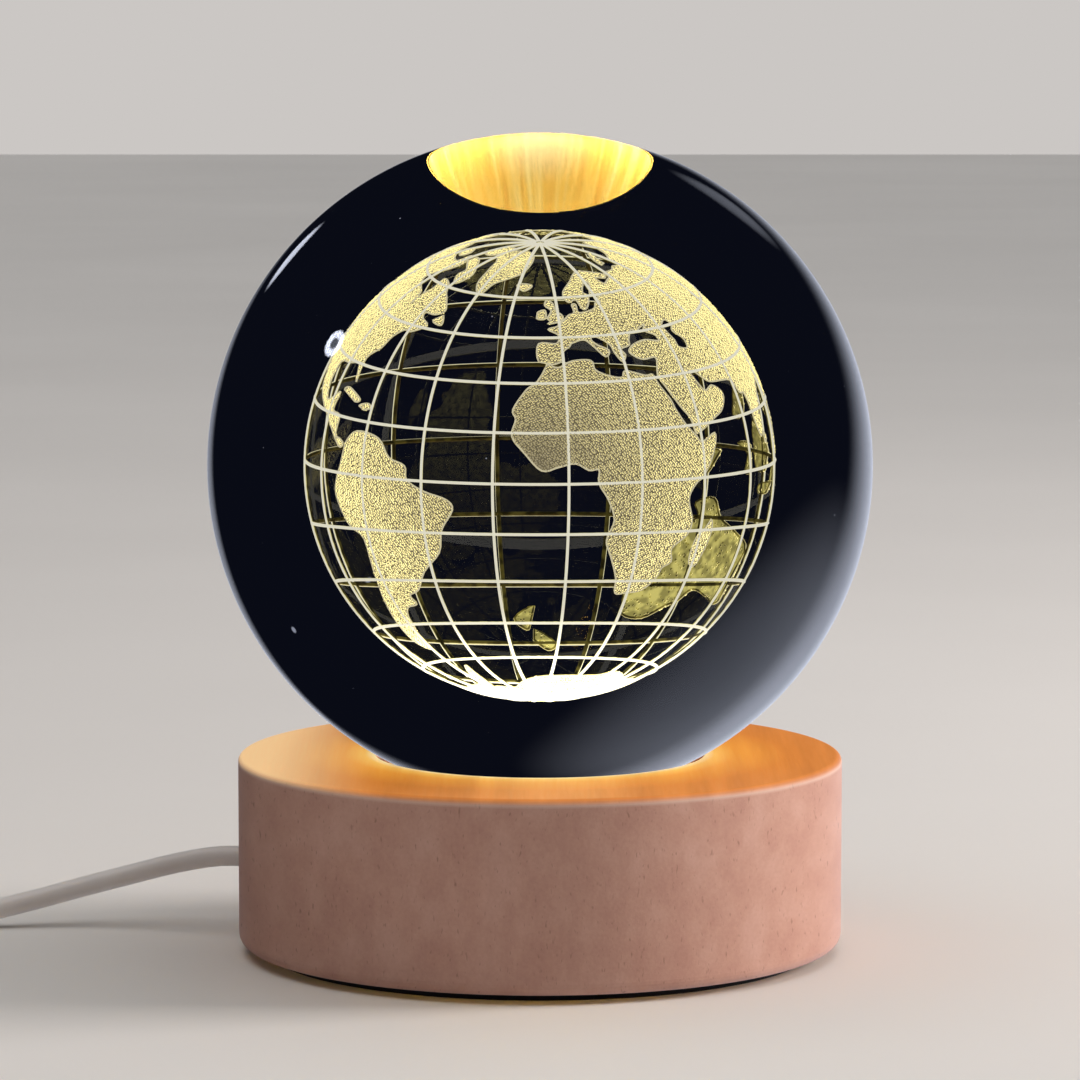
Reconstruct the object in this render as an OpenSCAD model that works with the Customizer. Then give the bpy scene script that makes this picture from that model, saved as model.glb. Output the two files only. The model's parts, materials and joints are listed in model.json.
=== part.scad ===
/* [Ball] */
// Diameter of the crystal ball
ball_d = 80; // [66:1:100]
// Diameter of the small flat ground on the ball's underside
flat_d = 30; // [24:1:36]
// Depth of that flat below the top of the wood
ball_drop = 2.2; // [1.6:0.1:2.8]

/* [Engraving] */
// Diameter of the globe engraved inside the ball
globe_d = 37.2; // [30:0.2:46]
// Thickness of the engraved lines
line_d = 0.36; // [0.24:0.02:0.5]
// Longitude that faces the front, in degrees east
front_lon = -8.5; // [-180:0.5:180]
// Degrees between parallels
parallel_step = 15; // [10, 15, 30]
// Highest latitude that a parallel may have
last_parallel = 60; // [45:5:80]
// Number of meridians
meridians = 16; // [8:2:24]
// Degrees of latitude between the rows that fill the land
land_step = 5; // [3:1:8]

/* [Base] */
// Diameter of the wooden base
base_d = 73; // [60:1:80]
// Height of the wooden block
block_h = 23; // [19:1:32]
// Radius that eases the top edge of the wood
top_ease = 0.8; // [0.4:0.1:2]
// Radius that eases the bottom edge of the wood
bottom_ease = 1.5; // [0.5:0.1:3]
// Play all round between the wood and the ball where the ball dips into it
seat_clear = 0.4; // [0.3:0.05:1]
// Thickness of the clear ring that the ball rests on
ring_t = 0.8; // [0.5:0.1:1.5]
// Width of the clear ring's flat band
ring_band = 10; // [6:0.5:11]
// Wood left between the seat and the cavity underneath
web_t = 5; // [4:0.5:7]
// Wood left between the cavity and the outside
wall = 11.5; // [9:0.5:14]

/* [Light] */
// Diameter of the light hole under the ball
light_hole_d = 12; // [10:0.5:14]
// Diameter of the frosted window over the light hole
window_d = 16; // [15:0.5:18]
// Thickness of the frosted window
window_t = 2; // [1.5:0.1:2.5]
// Diameter of the round circuit board
board_d = 26; // [24:1:32]
// Thickness of the circuit board
board_t = 1.2; // [0.8:0.1:1.6]
// Number of light-emitting chips
led_count = 3; // [1:1:4]

/* [Underside] */
// Thickness of the bottom cover
cover_t = 2; // [1.5:0.1:3]
// Width of the ledge that the bottom cover sits against
ledge = 5; // [4.5:0.5:5]
// Thickness of the anti-slip pad
pad_t = 1; // [0.8:0.1:2]
// Distance from the edge of the wood in to the anti-slip pad
pad_inset = 3.5; // [2:0.5:5]
// Number of cover screws
cover_screws_n = 3; // [3:1:6]

/* [Cord] */
// Diameter of the cord
cord_d = 2.5; // [2.2:0.1:2.6]
// Height of the cord's hole above the table
cord_z = 9; // [8:0.5:10]
// Direction in which the cord leaves the base, in degrees from the right
cord_angle = 160; // [155:1:165]
// Wall of the rubber bush round the cord
bush_wall = 0.9; // [0.6:0.1:1.5]
// Height of the coil
coil_h = 10; // [8:0.5:12]

/* [Plug and switch] */
// Length of the plug's moulded body
plug_l = 18; // [14:1:24]
// Length of the plug's metal shell outside the body
shell_l = 12; // [12:0.5:14]
// Width of the switch
switch_w = 13; // [12:0.5:15]
// Height of the switch
switch_h = 9; // [8.5:0.5:11]
// Wall of the switch's two cases
case_t = 1.2; // [1:0.1:1.4]
// How far the switch's button travels
button_travel = 1.2; // [0.6:0.1:1.5]

/* [Hidden] */
$fn = 64;

// Small gap that keeps mating faces from sharing a surface
fit = 0.1;
ball_r = ball_d / 2;
globe_r = globe_d / 2;

// Heights, from the table upwards
block_z = pad_t;
block_top = block_z + block_h;
flat_z = block_top - ball_drop;
seat_floor = flat_z - ring_t - fit;
ceiling = seat_floor - web_t;
ball_z = flat_z + sqrt(ball_r * ball_r - flat_d * flat_d / 4);

// Radii of the base
base_r = base_d / 2;
mouth_r = sqrt(ball_r * ball_r - pow(ball_z - block_top, 2));
seat_r = mouth_r + seat_clear;
cavity_r = base_r - wall;
cover_r = cavity_r + ledge;
ring_r = seat_r - 0.3;

// Screws
board_screw_d = 1.6;
board_screw_r = board_d / 2 - 2.4;
cover_screw_d = 2;
cover_screw_r = cavity_r + ledge / 2;
cover_screw_l = 8;

// Cord, inside the base
cord_r = cord_d / 2;
bush_r = cord_r + bush_wall;
bush_out = base_r + 0.3;
inner_end = cavity_r - 5;
wire_d = 1.1;
wire_start = inner_end - 11;

// Cord, outside: the first point is the middle of the bush's outer face
cord_dir = [cos(cord_angle), sin(cord_angle), 0];
cord_exit = bush_out * cord_dir + [0, 0, cord_z];
lead_route = concat([cord_exit], [
    [-39.5, 14.3, 8.9], [-45, 15.8, 7.8], [-51, 16.4, 6.2], [-57, 16, 4.7], [-63, 15, 3.2],
    [-69, 13.6, 2], [-75, 12.2, 1.4], [-81, 11.3, 1.25], [-86, 11, 1.25], [-91.5, 11, 1.25], [-97, 11, 1.25]
]);
coil_at = [-104, -5.5];
coil_inner = 10.25;
coil_outer = 17.75;
tail_route = [
    [-120.5, -12, 8.2], [-120.5, -18, 6.2], [-120.2, -24, 4.4], [-118.4, -29.2, 3.6],
    [-115, -32.8, 3.9], [-110, -34, 4.5], [-106, -34, 4.5]
];
end_route = [
    [-84, -34, 4.5], [-80, -34, 4.5], [-77, -34, 4.5], [-72.4, -35.2, 3.4], [-68.6, -38.8, 1.9],
    [-67, -44, 1.25], [-68.2, -49, 1.9], [-72, -52.8, 3.3], [-77, -54, 4], [-79, -54, 4]
];

// Switch: it lies along X, and the cord goes in at both ends
switch_at = [-95, -34, 0];
switch_l = 30;
split_z = switch_h / 2;
switch_axis_z = 4.5;
button_l = 9;
button_w = 5.5;
button_lip = 0.8;
button_proud = 1.6;
post_at = [9, 3.5];
post_d = 3.8;
switch_screw_d = 1.4;
head_pocket = 1.6;
flange_t = 1;
flange_low = switch_h - case_t - fit - flange_t;
spring_t = 0.3;
spring_top = flange_low - button_travel - 0.2;

// Plug: it lies along X and points away from the base
plug_at = [-84, -54, 4];
plug_w = 15;
plug_h = 8;
relief_l = 5;
shell_w = 12;
shell_h = 4.5;
shell_t = 0.3;
shell_hidden = 6;
tongue_t = 1.8;

// Outlines of the land, as [longitude, latitude] in whole degrees
africa = [
    [-6, 36], [-2, 35], [3, 37], [10, 37], [11, 34], [15, 32], [20, 31], [22, 33], [29, 31], [32, 31],
    [33, 28], [36, 23], [37, 20], [40, 15], [43, 12], [45, 10], [51, 12], [50, 8], [46, 2], [41, -2],
    [39, -6], [41, -12], [40, -16], [35, -20], [36, -24], [33, -26], [32, -29], [28, -33], [22, -34],
    [18, -34], [17, -29], [14, -22], [12, -17], [14, -11], [12, -5], [9, 0], [9, 4], [6, 4], [2, 6],
    [-3, 5], [-8, 4], [-13, 9], [-17, 14], [-16, 19], [-17, 22], [-13, 28], [-10, 30], [-7, 34]
];
madagascar = [[49, -12], [50, -16], [47, -25], [44, -25], [43, -22], [44, -17], [47, -15]];
eurasia = [
    [-9, 37], [-9, 43], [-2, 43], [-1, 46], [-5, 48], [-1, 49], [2, 51], [5, 53], [8, 54], [8, 57],
    [10, 57], [10, 54], [14, 54], [19, 55], [21, 57], [24, 57], [24, 59], [30, 60], [23, 60], [21, 61],
    [25, 65], [22, 66], [17, 62], [19, 60], [16, 56], [13, 55], [11, 59], [7, 58], [5, 60], [6, 63],
    [13, 67], [19, 70], [26, 71], [41, 68], [40, 66], [33, 67], [35, 64], [40, 65], [44, 66], [44, 68],
    [54, 68], [60, 69], [68, 68], [67, 71], [73, 72], [80, 73], [88, 75], [104, 78], [113, 74],
    [127, 73], [140, 73], [160, 70], [178, 69], [190, 66], [180, 65], [177, 62], [170, 60], [163, 58],
    [163, 55], [157, 51], [156, 57], [160, 61], [155, 59], [143, 59], [136, 55], [141, 53], [140, 48],
    [132, 43], [128, 40], [129, 35], [126, 35], [125, 39], [121, 40], [118, 39], [122, 37], [119, 35],
    [122, 31], [120, 27], [115, 22], [108, 21], [106, 19], [109, 12], [105, 9], [103, 11], [100, 13],
    [100, 9], [104, 2], [101, 3], [98, 8], [98, 16], [94, 16], [91, 22], [87, 21], [80, 15], [80, 12],
    [78, 8], [75, 12], [73, 20], [70, 21], [67, 25], [57, 26], [54, 27], [50, 30], [48, 30], [50, 26],
    [52, 24], [56, 25], [60, 22], [57, 18], [52, 16], [45, 13], [43, 13], [42, 17], [39, 21], [35, 28],
    [34, 31], [36, 36], [31, 36], [28, 37], [26, 39], [29, 41], [35, 42], [41, 41], [41, 43], [37, 45],
    [39, 47], [35, 46], [33, 45], [31, 46], [28, 43], [27, 41], [23, 40], [24, 38], [22, 36], [20, 39],
    [19, 42], [14, 45], [12, 44], [14, 42], [18, 40], [16, 38], [12, 42], [9, 44], [4, 43], [3, 42],
    [0, 40], [-1, 37], [-5, 36]
];
caspian = [[47, 45], [51, 47], [53, 45], [51, 43], [54, 40], [53, 37], [49, 38], [49, 41]];
britain = [[-5, 50], [1, 51], [2, 53], [-1, 55], [-2, 58], [-5, 59], [-6, 57], [-3, 55], [-5, 52], [-3, 51]];
ireland = [[-10, 52], [-6, 52], [-6, 55], [-8, 55], [-10, 54]];
iceland = [[-22, 64], [-18, 63], [-14, 65], [-16, 66], [-22, 66], [-24, 65]];
greenland = [
    [-73, 78], [-60, 82], [-32, 83], [-18, 80], [-22, 72], [-32, 68], [-40, 65], [-44, 60], [-51, 64],
    [-54, 70], [-60, 76]
];
novaya_zemlya = [[52, 71], [56, 75], [68, 77], [58, 73], [57, 71]];
north_america = [
    [-168, 66], [-157, 71], [-141, 70], [-128, 70], [-115, 68], [-95, 68], [-94, 72], [-85, 69],
    [-87, 65], [-94, 61], [-94, 58], [-82, 55], [-80, 51], [-79, 55], [-77, 58], [-78, 62], [-70, 61],
    [-65, 58], [-61, 56], [-56, 52], [-60, 50], [-66, 50], [-65, 48], [-60, 46], [-66, 43], [-70, 43],
    [-74, 40], [-76, 36], [-81, 32], [-80, 25], [-82, 28], [-84, 30], [-90, 29], [-97, 28], [-98, 22],
    [-95, 18], [-91, 19], [-87, 21], [-88, 16], [-83, 15], [-83, 10], [-80, 9], [-78, 8], [-80, 7],
    [-86, 11], [-91, 14], [-96, 16], [-105, 20], [-109, 26], [-114, 31], [-110, 23], [-115, 29],
    [-118, 34], [-124, 40], [-124, 47], [-131, 55], [-140, 60], [-150, 60], [-158, 57], [-158, 59],
    [-165, 61]
];
baffin = [[-85, 73], [-74, 72], [-62, 67], [-66, 62], [-73, 65], [-73, 68], [-88, 71]];
ellesmere = [[-90, 76], [-78, 76], [-66, 80], [-62, 82], [-75, 83], [-92, 81]];
victoria = [[-117, 70], [-105, 69], [-102, 72], [-116, 73]];
newfoundland = [[-59, 48], [-53, 47], [-56, 51]];
cuba = [[-85, 22], [-82, 23], [-75, 21], [-75, 20], [-78, 20]];
hispaniola = [[-74, 19], [-70, 20], [-68, 19], [-72, 18]];
south_america = [
    [-77, 8], [-72, 12], [-62, 11], [-57, 6], [-51, 4], [-50, 0], [-44, -3], [-37, -5], [-35, -8],
    [-39, -14], [-41, -21], [-48, -27], [-53, -33], [-58, -35], [-57, -38], [-62, -39], [-65, -42],
    [-66, -46], [-69, -51], [-68, -55], [-74, -52], [-75, -46], [-73, -37], [-71, -30], [-70, -18],
    [-76, -14], [-81, -6], [-80, -1], [-78, 3]
];
australia = [
    [114, -22], [122, -18], [129, -15], [132, -11], [137, -12], [136, -15], [141, -17], [142, -11],
    [146, -19], [153, -25], [151, -33], [150, -37], [144, -38], [138, -35], [135, -34], [131, -31],
    [124, -33], [118, -35], [115, -33]
];
new_zealand_north = [[173, -35], [178, -38], [175, -41], [174, -39]];
new_zealand_south = [[173, -41], [167, -45], [169, -47], [174, -43]];
new_guinea = [[131, -1], [138, -2], [147, -6], [150, -10], [143, -8], [138, -8], [133, -4]];
borneo = [[109, 1], [117, 7], [118, 1], [116, -4], [110, -3]];
sumatra = [[95, 6], [104, -2], [106, -6], [102, -4], [98, 1]];
java = [[105, -6], [114, -7], [114, -9], [107, -8]];
celebes = [[120, 1], [125, 1], [121, -1], [122, -5], [119, -4]];
philippines = [[120, 18], [122, 18], [126, 7], [122, 8], [121, 14]];
japan = [[130, 32], [136, 34], [141, 36], [142, 40], [145, 43], [142, 45], [139, 38], [132, 35]];
sri_lanka = [[80, 9], [82, 7], [80, 6]];
antarctica = [
    [-180, -78], [-150, -76], [-120, -74], [-100, -72], [-75, -73], [-65, -68], [-57, -63], [-62, -74],
    [-75, -77], [-60, -76], [-40, -78], [-25, -74], [-10, -71], [10, -70], [35, -69], [50, -66],
    [70, -68], [80, -67], [100, -66], [120, -67], [140, -66], [155, -69], [170, -72], [165, -78],
    [180, -78], [180, -90], [-180, -90]
];
land = [
    africa, madagascar, eurasia, caspian, britain, ireland, iceland, greenland, novaya_zemlya,
    north_america, baffin, ellesmere, victoria, newfoundland, cuba, hispaniola, south_america,
    australia, new_zealand_north, new_zealand_south, new_guinea, borneo, sumatra, java, celebes,
    philippines, japan, sri_lanka, antarctica
];

// ---------- functions ----------

function unit(v) = v / norm(v);

// Points along an arc round a centre
function arc(centre, r, from, to, steps = 6) =
    [for (i = [0:steps]) let (a = from + (to - from) * i / steps) centre + r * [cos(a), sin(a)]];

function sorted(v) = len(v) < 2 ? v :
    let (pivot = v[0], rest = [for (i = [1:len(v) - 1]) v[i]])
    concat(sorted([for (x = rest) if (x < pivot) x]), [pivot], sorted([for (x = rest) if (x >= pivot) x]));

// Longitudes at which a closed outline crosses a latitude
function crossings(outline, lat) =
    [for (i = [0:len(outline) - 1])
        let (a = outline[i], b = outline[(i + 1) % len(outline)])
        if ((a.y > lat) != (b.y > lat)) a.x + (b.x - a.x) * (lat - a.y) / (b.y - a.y)];

// Longitudes at which any coast crosses a latitude, from west to east
function coasts(lat) = sorted([for (outline = land) each crossings(outline, lat)]);

// Direction of a route at one of its points
function heading(route, i) = unit(route[min(i + 1, len(route) - 1)] - route[max(i - 1, 0)]);

// One ring of a tube's skin, square to the route
function tube_ring(centre, along, r, sides) =
    let (side = unit(cross(along, [0, 0, 1])), up = cross(side, along))
    [for (k = [0:sides - 1]) let (a = 360 * k / sides) centre + r * (cos(a) * side + sin(a) * up)];

// ---------- shared shapes ----------

// Round tube that follows a route
module tube(route, d, sides = 8) {
    last = (len(route) - 1) * sides;
    skin = [for (i = [0:len(route) - 1]) each tube_ring(route[i], heading(route, i), d / 2, sides)];
    walls = [for (i = [0:len(route) - 2], k = [0:sides - 1]) each
        let (a = i * sides + k, b = i * sides + (k + 1) % sides)
        [[a, b, b + sides], [a, b + sides, a + sides]]];
    caps = [[for (k = [sides - 1:-1:0]) k], [for (k = [0:sides - 1]) last + k]];
    polyhedron(points = skin, faces = concat(caps, walls));
}

// Ring of round wire, or part of one, at a latitude on a ball
module latitude_arc(r, lat, d, from = 0, to = 360) {
    rotate([0, 0, from]) rotate_extrude(angle = to - from)
        translate([r * cos(lat), r * sin(lat)]) circle(d = d, $fn = 24);
}

module stadium(l, w, h) {
    linear_extrude(h) {
        square([l - w, w], center = true);
        for (s = [-1, 1]) translate([s * (l - w) / 2, 0]) circle(d = w);
    }
}

// Bar along X with rounded long edges, centred on its axis
module soft_bar(l, w, h, r) {
    rotate([90, 0, 90]) linear_extrude(l) {
        square([w - 2 * r, h], center = true);
        square([w, h - 2 * r], center = true);
        for (x = [-1, 1], y = [-1, 1]) translate([x * (w / 2 - r), y * (h / 2 - r)]) circle(r);
    }
}

// Countersunk screw with a cross slot, its head face at z = 0 and its shank upwards
module countersunk_screw(d, l) {
    difference() {
        union() {
            cylinder(h = d / 2, d1 = 2 * d, d2 = d);
            cylinder(h = l, d = d);
        }
        for (a = [0, 90]) rotate([0, 0, a])
            translate([-0.7 * d, -0.12 * d, -1]) cube([1.4 * d, 0.24 * d, 1.4]);
    }
}

module countersunk_hole(d, l) {
    translate([0, 0, -fit]) cylinder(h = d / 2 + fit, d1 = 2 * d + 4 * fit, d2 = d + 2 * fit);
    cylinder(h = l, d = d + 2 * fit);
}

// Pan-head screw, its head's underside at z = 0 and its shank upwards
module pan_screw(d, l) {
    cylinder(h = l, d = d);
    difference() {
        translate([0, 0, -0.6 * d]) cylinder(h = 0.6 * d, d = 1.9 * d);
        for (a = [0, 90]) rotate([0, 0, a]) translate([-0.6 * d, -0.12 * d, -0.6 * d - 1])
            cube([1.2 * d, 0.24 * d, 1.4]);
    }
}

module at_ball() {
    translate([0, 0, ball_z]) children();
}

// Turns the engraving so that front_lon faces the front
module at_globe() {
    at_ball() rotate([0, 0, -90 - front_lon]) children();
}

// Z of what is drawn here runs outwards along the cord's hole
module along_cord() {
    translate([0, 0, cord_z]) rotate([0, 0, cord_angle]) rotate([0, 90, 0]) children();
}

module at_board_screws() {
    for (a = [70, 250]) rotate([0, 0, a]) translate([board_screw_r, 0, ceiling - board_t]) children();
}

module at_cover_screws() {
    for (i = [0:cover_screws_n - 1]) rotate([0, 0, 100 + 360 * i / cover_screws_n])
        translate([cover_screw_r, 0, block_z]) children();
}

// ---------- ball and engraving ----------

module crystal_ball() {
    color([0.10, 0.12, 0.18, 0.35]) difference() {
        at_ball() sphere(d = ball_d, $fn = 128);
        translate([0, 0, flat_z - ball_d]) cylinder(h = ball_d, d = ball_d);
    }
}

module engraved_parallels() {
    steps = floor(last_parallel / parallel_step);
    color("ivory") at_globe() for (k = [-steps:steps]) latitude_arc(globe_r, k * parallel_step, line_d);
}

// Meridians lie just inside the parallels and stop short of the poles
module engraved_meridians() {
    meridian_r = globe_r - line_d - 0.05;
    color("ivory") at_globe() for (i = [0:meridians - 1]) rotate([0, 0, 360 * i / meridians])
        rotate([90, 0, 0]) rotate([0, 0, -84]) rotate_extrude(angle = 168)
            translate([meridian_r, 0]) circle(d = line_d, $fn = 24);
}

// The land is filled with rows of arcs, each from one coast to the next
module engraved_land() {
    land_line = 1.4 * line_d;
    land_r = globe_r - 1.5 * line_d - land_line / 2 - 0.1;
    color([0.85, 0.78, 0.62]) at_globe() for (lat = [-90 + land_step / 2:land_step:84]) {
        c = coasts(lat);
        for (k = [0:2:len(c) - 2]) if (c[k + 1] - c[k] > 1)
            latitude_arc(land_r, lat, land_line, c[k], min(c[k + 1], c[k] + 359.9));
    }
}

// ---------- base ----------

module seat_ring() {
    color([0.95, 0.85, 0.65, 0.6]) translate([0, 0, seat_floor]) difference() {
        cylinder(h = ring_t, r = ring_r);
        translate([0, 0, -1]) cylinder(h = ring_t + 2, r = ring_r - ring_band);
    }
}

module base_block() {
    outline = concat([[0, block_z]], arc([base_r - bottom_ease, block_z + bottom_ease], bottom_ease, -90, 0),
        arc([base_r - top_ease, block_top - top_ease], top_ease, 0, 90), [[0, block_top]]);
    color([0.86, 0.74, 0.62]) difference() {
        rotate_extrude($fn = 128) polygon(outline);
        translate([0, 0, seat_floor]) cylinder(h = block_top, r = seat_r);
        translate([0, 0, seat_floor - window_t - fit]) cylinder(h = block_top, d = window_d + 2 * fit);
        cylinder(h = seat_floor, d = light_hole_d);
        translate([0, 0, block_z - 1]) cylinder(h = ceiling - block_z + 1, r = cavity_r);
        translate([0, 0, block_z - 1]) cylinder(h = cover_t + 1, r = cover_r + fit);
        along_cord() cylinder(h = base_d, r = bush_r);
        at_board_screws() cylinder(h = board_t + 3.5, d = board_screw_d);
        at_cover_screws() cylinder(h = cover_screw_l + 0.5, d = cover_screw_d);
    }
}

module light_window() {
    color([1, 0.93, 0.8]) translate([0, 0, seat_floor - window_t - fit]) cylinder(h = window_t, d = window_d);
}

module led_board() {
    color("white") difference() {
        translate([0, 0, ceiling - board_t]) cylinder(h = board_t, d = board_d);
        at_board_screws() translate([0, 0, -1]) cylinder(h = board_t + 2, d = board_screw_d + 2 * fit);
    }
}

module led_chips() {
    chip = [2.8, 3.5, 1.2];
    color([1, 0.85, 0.45]) for (i = [0:led_count - 1]) rotate([0, 0, 360 * i / led_count])
        translate([3.2 - chip.x / 2, -chip.y / 2, ceiling]) cube(chip);
}

module chip_resistors() {
    body = [3.2, 1.6, 0.6];
    color("dimgray") for (y = [-4, 4]) translate([1, y - body.y / 2, ceiling - board_t - body.z]) cube(body);
}

module board_screws() {
    color("silver") at_board_screws() pan_screw(board_screw_d, board_t + 3);
}

// A lead from the board down to the end of the cord; side is 1 or -1
module lead_wire(side) {
    bottom = ceiling - board_t;
    route = [
        [wire_start, 2.4 * side, bottom], [wire_start + 0.3, 2.3 * side, bottom - 1.5],
        [wire_start + 1.8, 1.8 * side, (bottom + cord_z) / 2], [inner_end - 5, 0.9 * side, cord_z + 0.4],
        [inner_end - 2, wire_d * 0.52 * side, cord_z], [inner_end, wire_d * 0.52 * side, cord_z]
    ];
    rotate([0, 0, cord_angle]) tube(route, wire_d);
}

module red_wire() {
    color("firebrick") lead_wire(1);
}

module black_wire() {
    color("black") lead_wire(-1);
}

module inner_cord() {
    color("white") along_cord() translate([0, 0, inner_end]) cylinder(h = bush_out - inner_end, r = cord_r);
}

// Tie that is too big to pass through the bush
module cord_stop() {
    color("whitesmoke") along_cord() translate([0, 0, inner_end + 1.2]) difference() {
        union() {
            cylinder(h = 2.4, r = cord_r + 1);
            translate([0, -1.8, 0]) cube([cord_r + 3, 3.6, 2.4]);
        }
        translate([0, 0, -1]) cylinder(h = 5, r = cord_r);
    }
}

module cord_bush() {
    color("ivory") along_cord() difference() {
        translate([0, 0, cavity_r + 1]) cylinder(h = bush_out - cavity_r - 1, r = bush_r);
        cylinder(h = base_d, r = cord_r);
    }
}

module bottom_cover() {
    color([0.12, 0.12, 0.13]) difference() {
        translate([0, 0, block_z]) cylinder(h = cover_t, r = cover_r);
        at_cover_screws() countersunk_hole(cover_screw_d, cover_t + 1);
    }
}

module cover_screws() {
    color("silver") at_cover_screws() countersunk_screw(cover_screw_d, cover_screw_l);
}

module anti_slip_pad() {
    color([0.08, 0.08, 0.08]) cylinder(h = pad_t, r = base_r - pad_inset);
}

// ---------- cord ----------

module cord_lead() {
    color("white") tube(lead_route, cord_d);
}

module cord_coil() {
    color("white") translate(coil_at) rotate_extrude() translate([coil_inner, 0])
        square([coil_outer - coil_inner, coil_h]);
}

module cord_tail() {
    color("white") tube(tail_route, cord_d);
}

module cord_end() {
    color("white") tube(end_route, cord_d);
}

// ---------- switch on the cord ----------

module at_switch_posts() {
    for (s = [-1, 1]) translate([s * post_at.x, s * post_at.y, 0]) children();
}

// Groove at each end that holds the cord
module cord_groove() {
    translate([-switch_l / 2 - 1, 0, switch_axis_z]) rotate([0, 90, 0])
        cylinder(h = switch_l + 2, r = cord_r);
}

module switch_lower_case() {
    color("white") translate(switch_at) difference() {
        union() {
            difference() {
                stadium(switch_l, switch_w, split_z);
                translate([0, 0, case_t]) stadium(switch_l - 2 * case_t, switch_w - 2 * case_t, switch_h);
            }
            at_switch_posts() cylinder(h = split_z, d = post_d);
        }
        cord_groove();
        at_switch_posts() {
            translate([0, 0, -1]) cylinder(h = switch_h, d = switch_screw_d + 2 * fit);
            translate([0, 0, -1]) cylinder(h = head_pocket + 1, d = 1.9 * switch_screw_d + 2 * fit);
        }
    }
}

module switch_upper_case() {
    color("white") translate(switch_at) difference() {
        union() {
            difference() {
                translate([0, 0, split_z]) stadium(switch_l, switch_w, switch_h - split_z);
                translate([0, 0, -case_t]) stadium(switch_l - 2 * case_t, switch_w - 2 * case_t, switch_h);
            }
            at_switch_posts() translate([0, 0, split_z]) cylinder(h = switch_h - split_z - 0.5, d = post_d);
        }
        cord_groove();
        stadium(button_l + 4 * fit, button_w + 4 * fit, switch_h + 1);
        at_switch_posts() cylinder(h = split_z + 3, d = switch_screw_d);
    }
}

module switch_button() {
    color("silver") translate(switch_at + [0, 0, flange_low]) {
        stadium(button_l, button_w, switch_h + button_proud - flange_low);
        stadium(button_l + 2 * button_lip, button_w + 2 * button_lip, flange_t);
    }
}

module switch_spring() {
    color("goldenrod") translate(switch_at + [-4, -1.25, spring_top - spring_t]) cube([8, 2.5, spring_t]);
}

module switch_terminals() {
    post = [1.6, 2.5, spring_top - spring_t - case_t];
    color("goldenrod") translate(switch_at) for (x = [-3.2, 3.2])
        translate([x - post.x / 2, -post.y / 2, case_t]) cube(post);
}

module switch_screws() {
    color("silver") translate(switch_at) at_switch_posts() translate([0, 0, head_pocket])
        pan_screw(switch_screw_d, split_z + 2.5 - head_pocket);
}

// ---------- plug ----------

// X runs from the face of the moulded body out to the open end of the shell
module at_plug() {
    translate(plug_at) rotate([0, 0, 180]) children();
}

module plug_body() {
    color("white") at_plug() difference() {
        union() {
            soft_bar(plug_l, plug_w, plug_h, 2);
            translate([-relief_l, 0, 0]) rotate([0, 90, 0])
                cylinder(h = relief_l, r1 = cord_r + 0.7, r2 = cord_r + 1.3);
        }
        translate([plug_l - shell_hidden, -shell_w / 2, -shell_h / 2])
            cube([shell_hidden + 1, shell_w, shell_h]);
    }
}

module plug_shell() {
    length = shell_l + shell_hidden;
    color("silver") at_plug() translate([plug_l - shell_hidden, 0, 0]) difference() {
        translate([0, -shell_w / 2, -shell_h / 2]) cube([length, shell_w, shell_h]);
        translate([-1, -shell_w / 2 + shell_t, -shell_h / 2 + shell_t])
            cube([length + 2, shell_w - 2 * shell_t, shell_h - 2 * shell_t]);
        for (y = [-3.2, 3.2]) translate([shell_hidden + 5, y - 1.25, -shell_h]) cube([2.5, 2.5, 2 * shell_h]);
    }
}

module plug_tongue() {
    inner_w = shell_w - 2 * shell_t;
    inner_h = shell_h - 2 * shell_t;
    color([0.15, 0.15, 0.16]) at_plug() translate([plug_l - shell_hidden, -inner_w / 2, 0]) {
        translate([0, 0, -inner_h / 2]) cube([shell_hidden, inner_w, inner_h]);
        translate([0, 0, inner_h / 2 - tongue_t]) cube([shell_hidden + shell_l - 0.8, inner_w, tongue_t]);
    }
}

module plug_contacts() {
    strip = [8, 1, 0.2];
    under = shell_h / 2 - shell_t - tongue_t;
    color("goldenrod") at_plug() for (y = [-3.5, -1.1, 1.1, 3.5])
        translate([plug_l + shell_l - 1.6 - strip.x, y - strip.y / 2, under - strip.z]) cube(strip);
}

// ---------- the part ----------

crystal_ball();
engraved_parallels();
engraved_meridians();
engraved_land();
seat_ring();
base_block();
light_window();
led_board();
led_chips();
chip_resistors();
board_screws();
red_wire();
black_wire();
inner_cord();
cord_stop();
cord_bush();
bottom_cover();
cover_screws();
anti_slip_pad();
cord_lead();
cord_coil();
cord_tail();
cord_end();
switch_lower_case();
switch_upper_case();
switch_button();
switch_spring();
switch_terminals();
switch_screws();
plug_body();
plug_shell();
plug_tongue();
plug_contacts();
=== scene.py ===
"""Looks of the crystal globe lamp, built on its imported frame. Metres, +Z up, and its front faces -Y."""
import json
import math
import random

import bmesh
import bpy
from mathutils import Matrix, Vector
from mathutils.geometry import delaunay_2d_cdt

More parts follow.
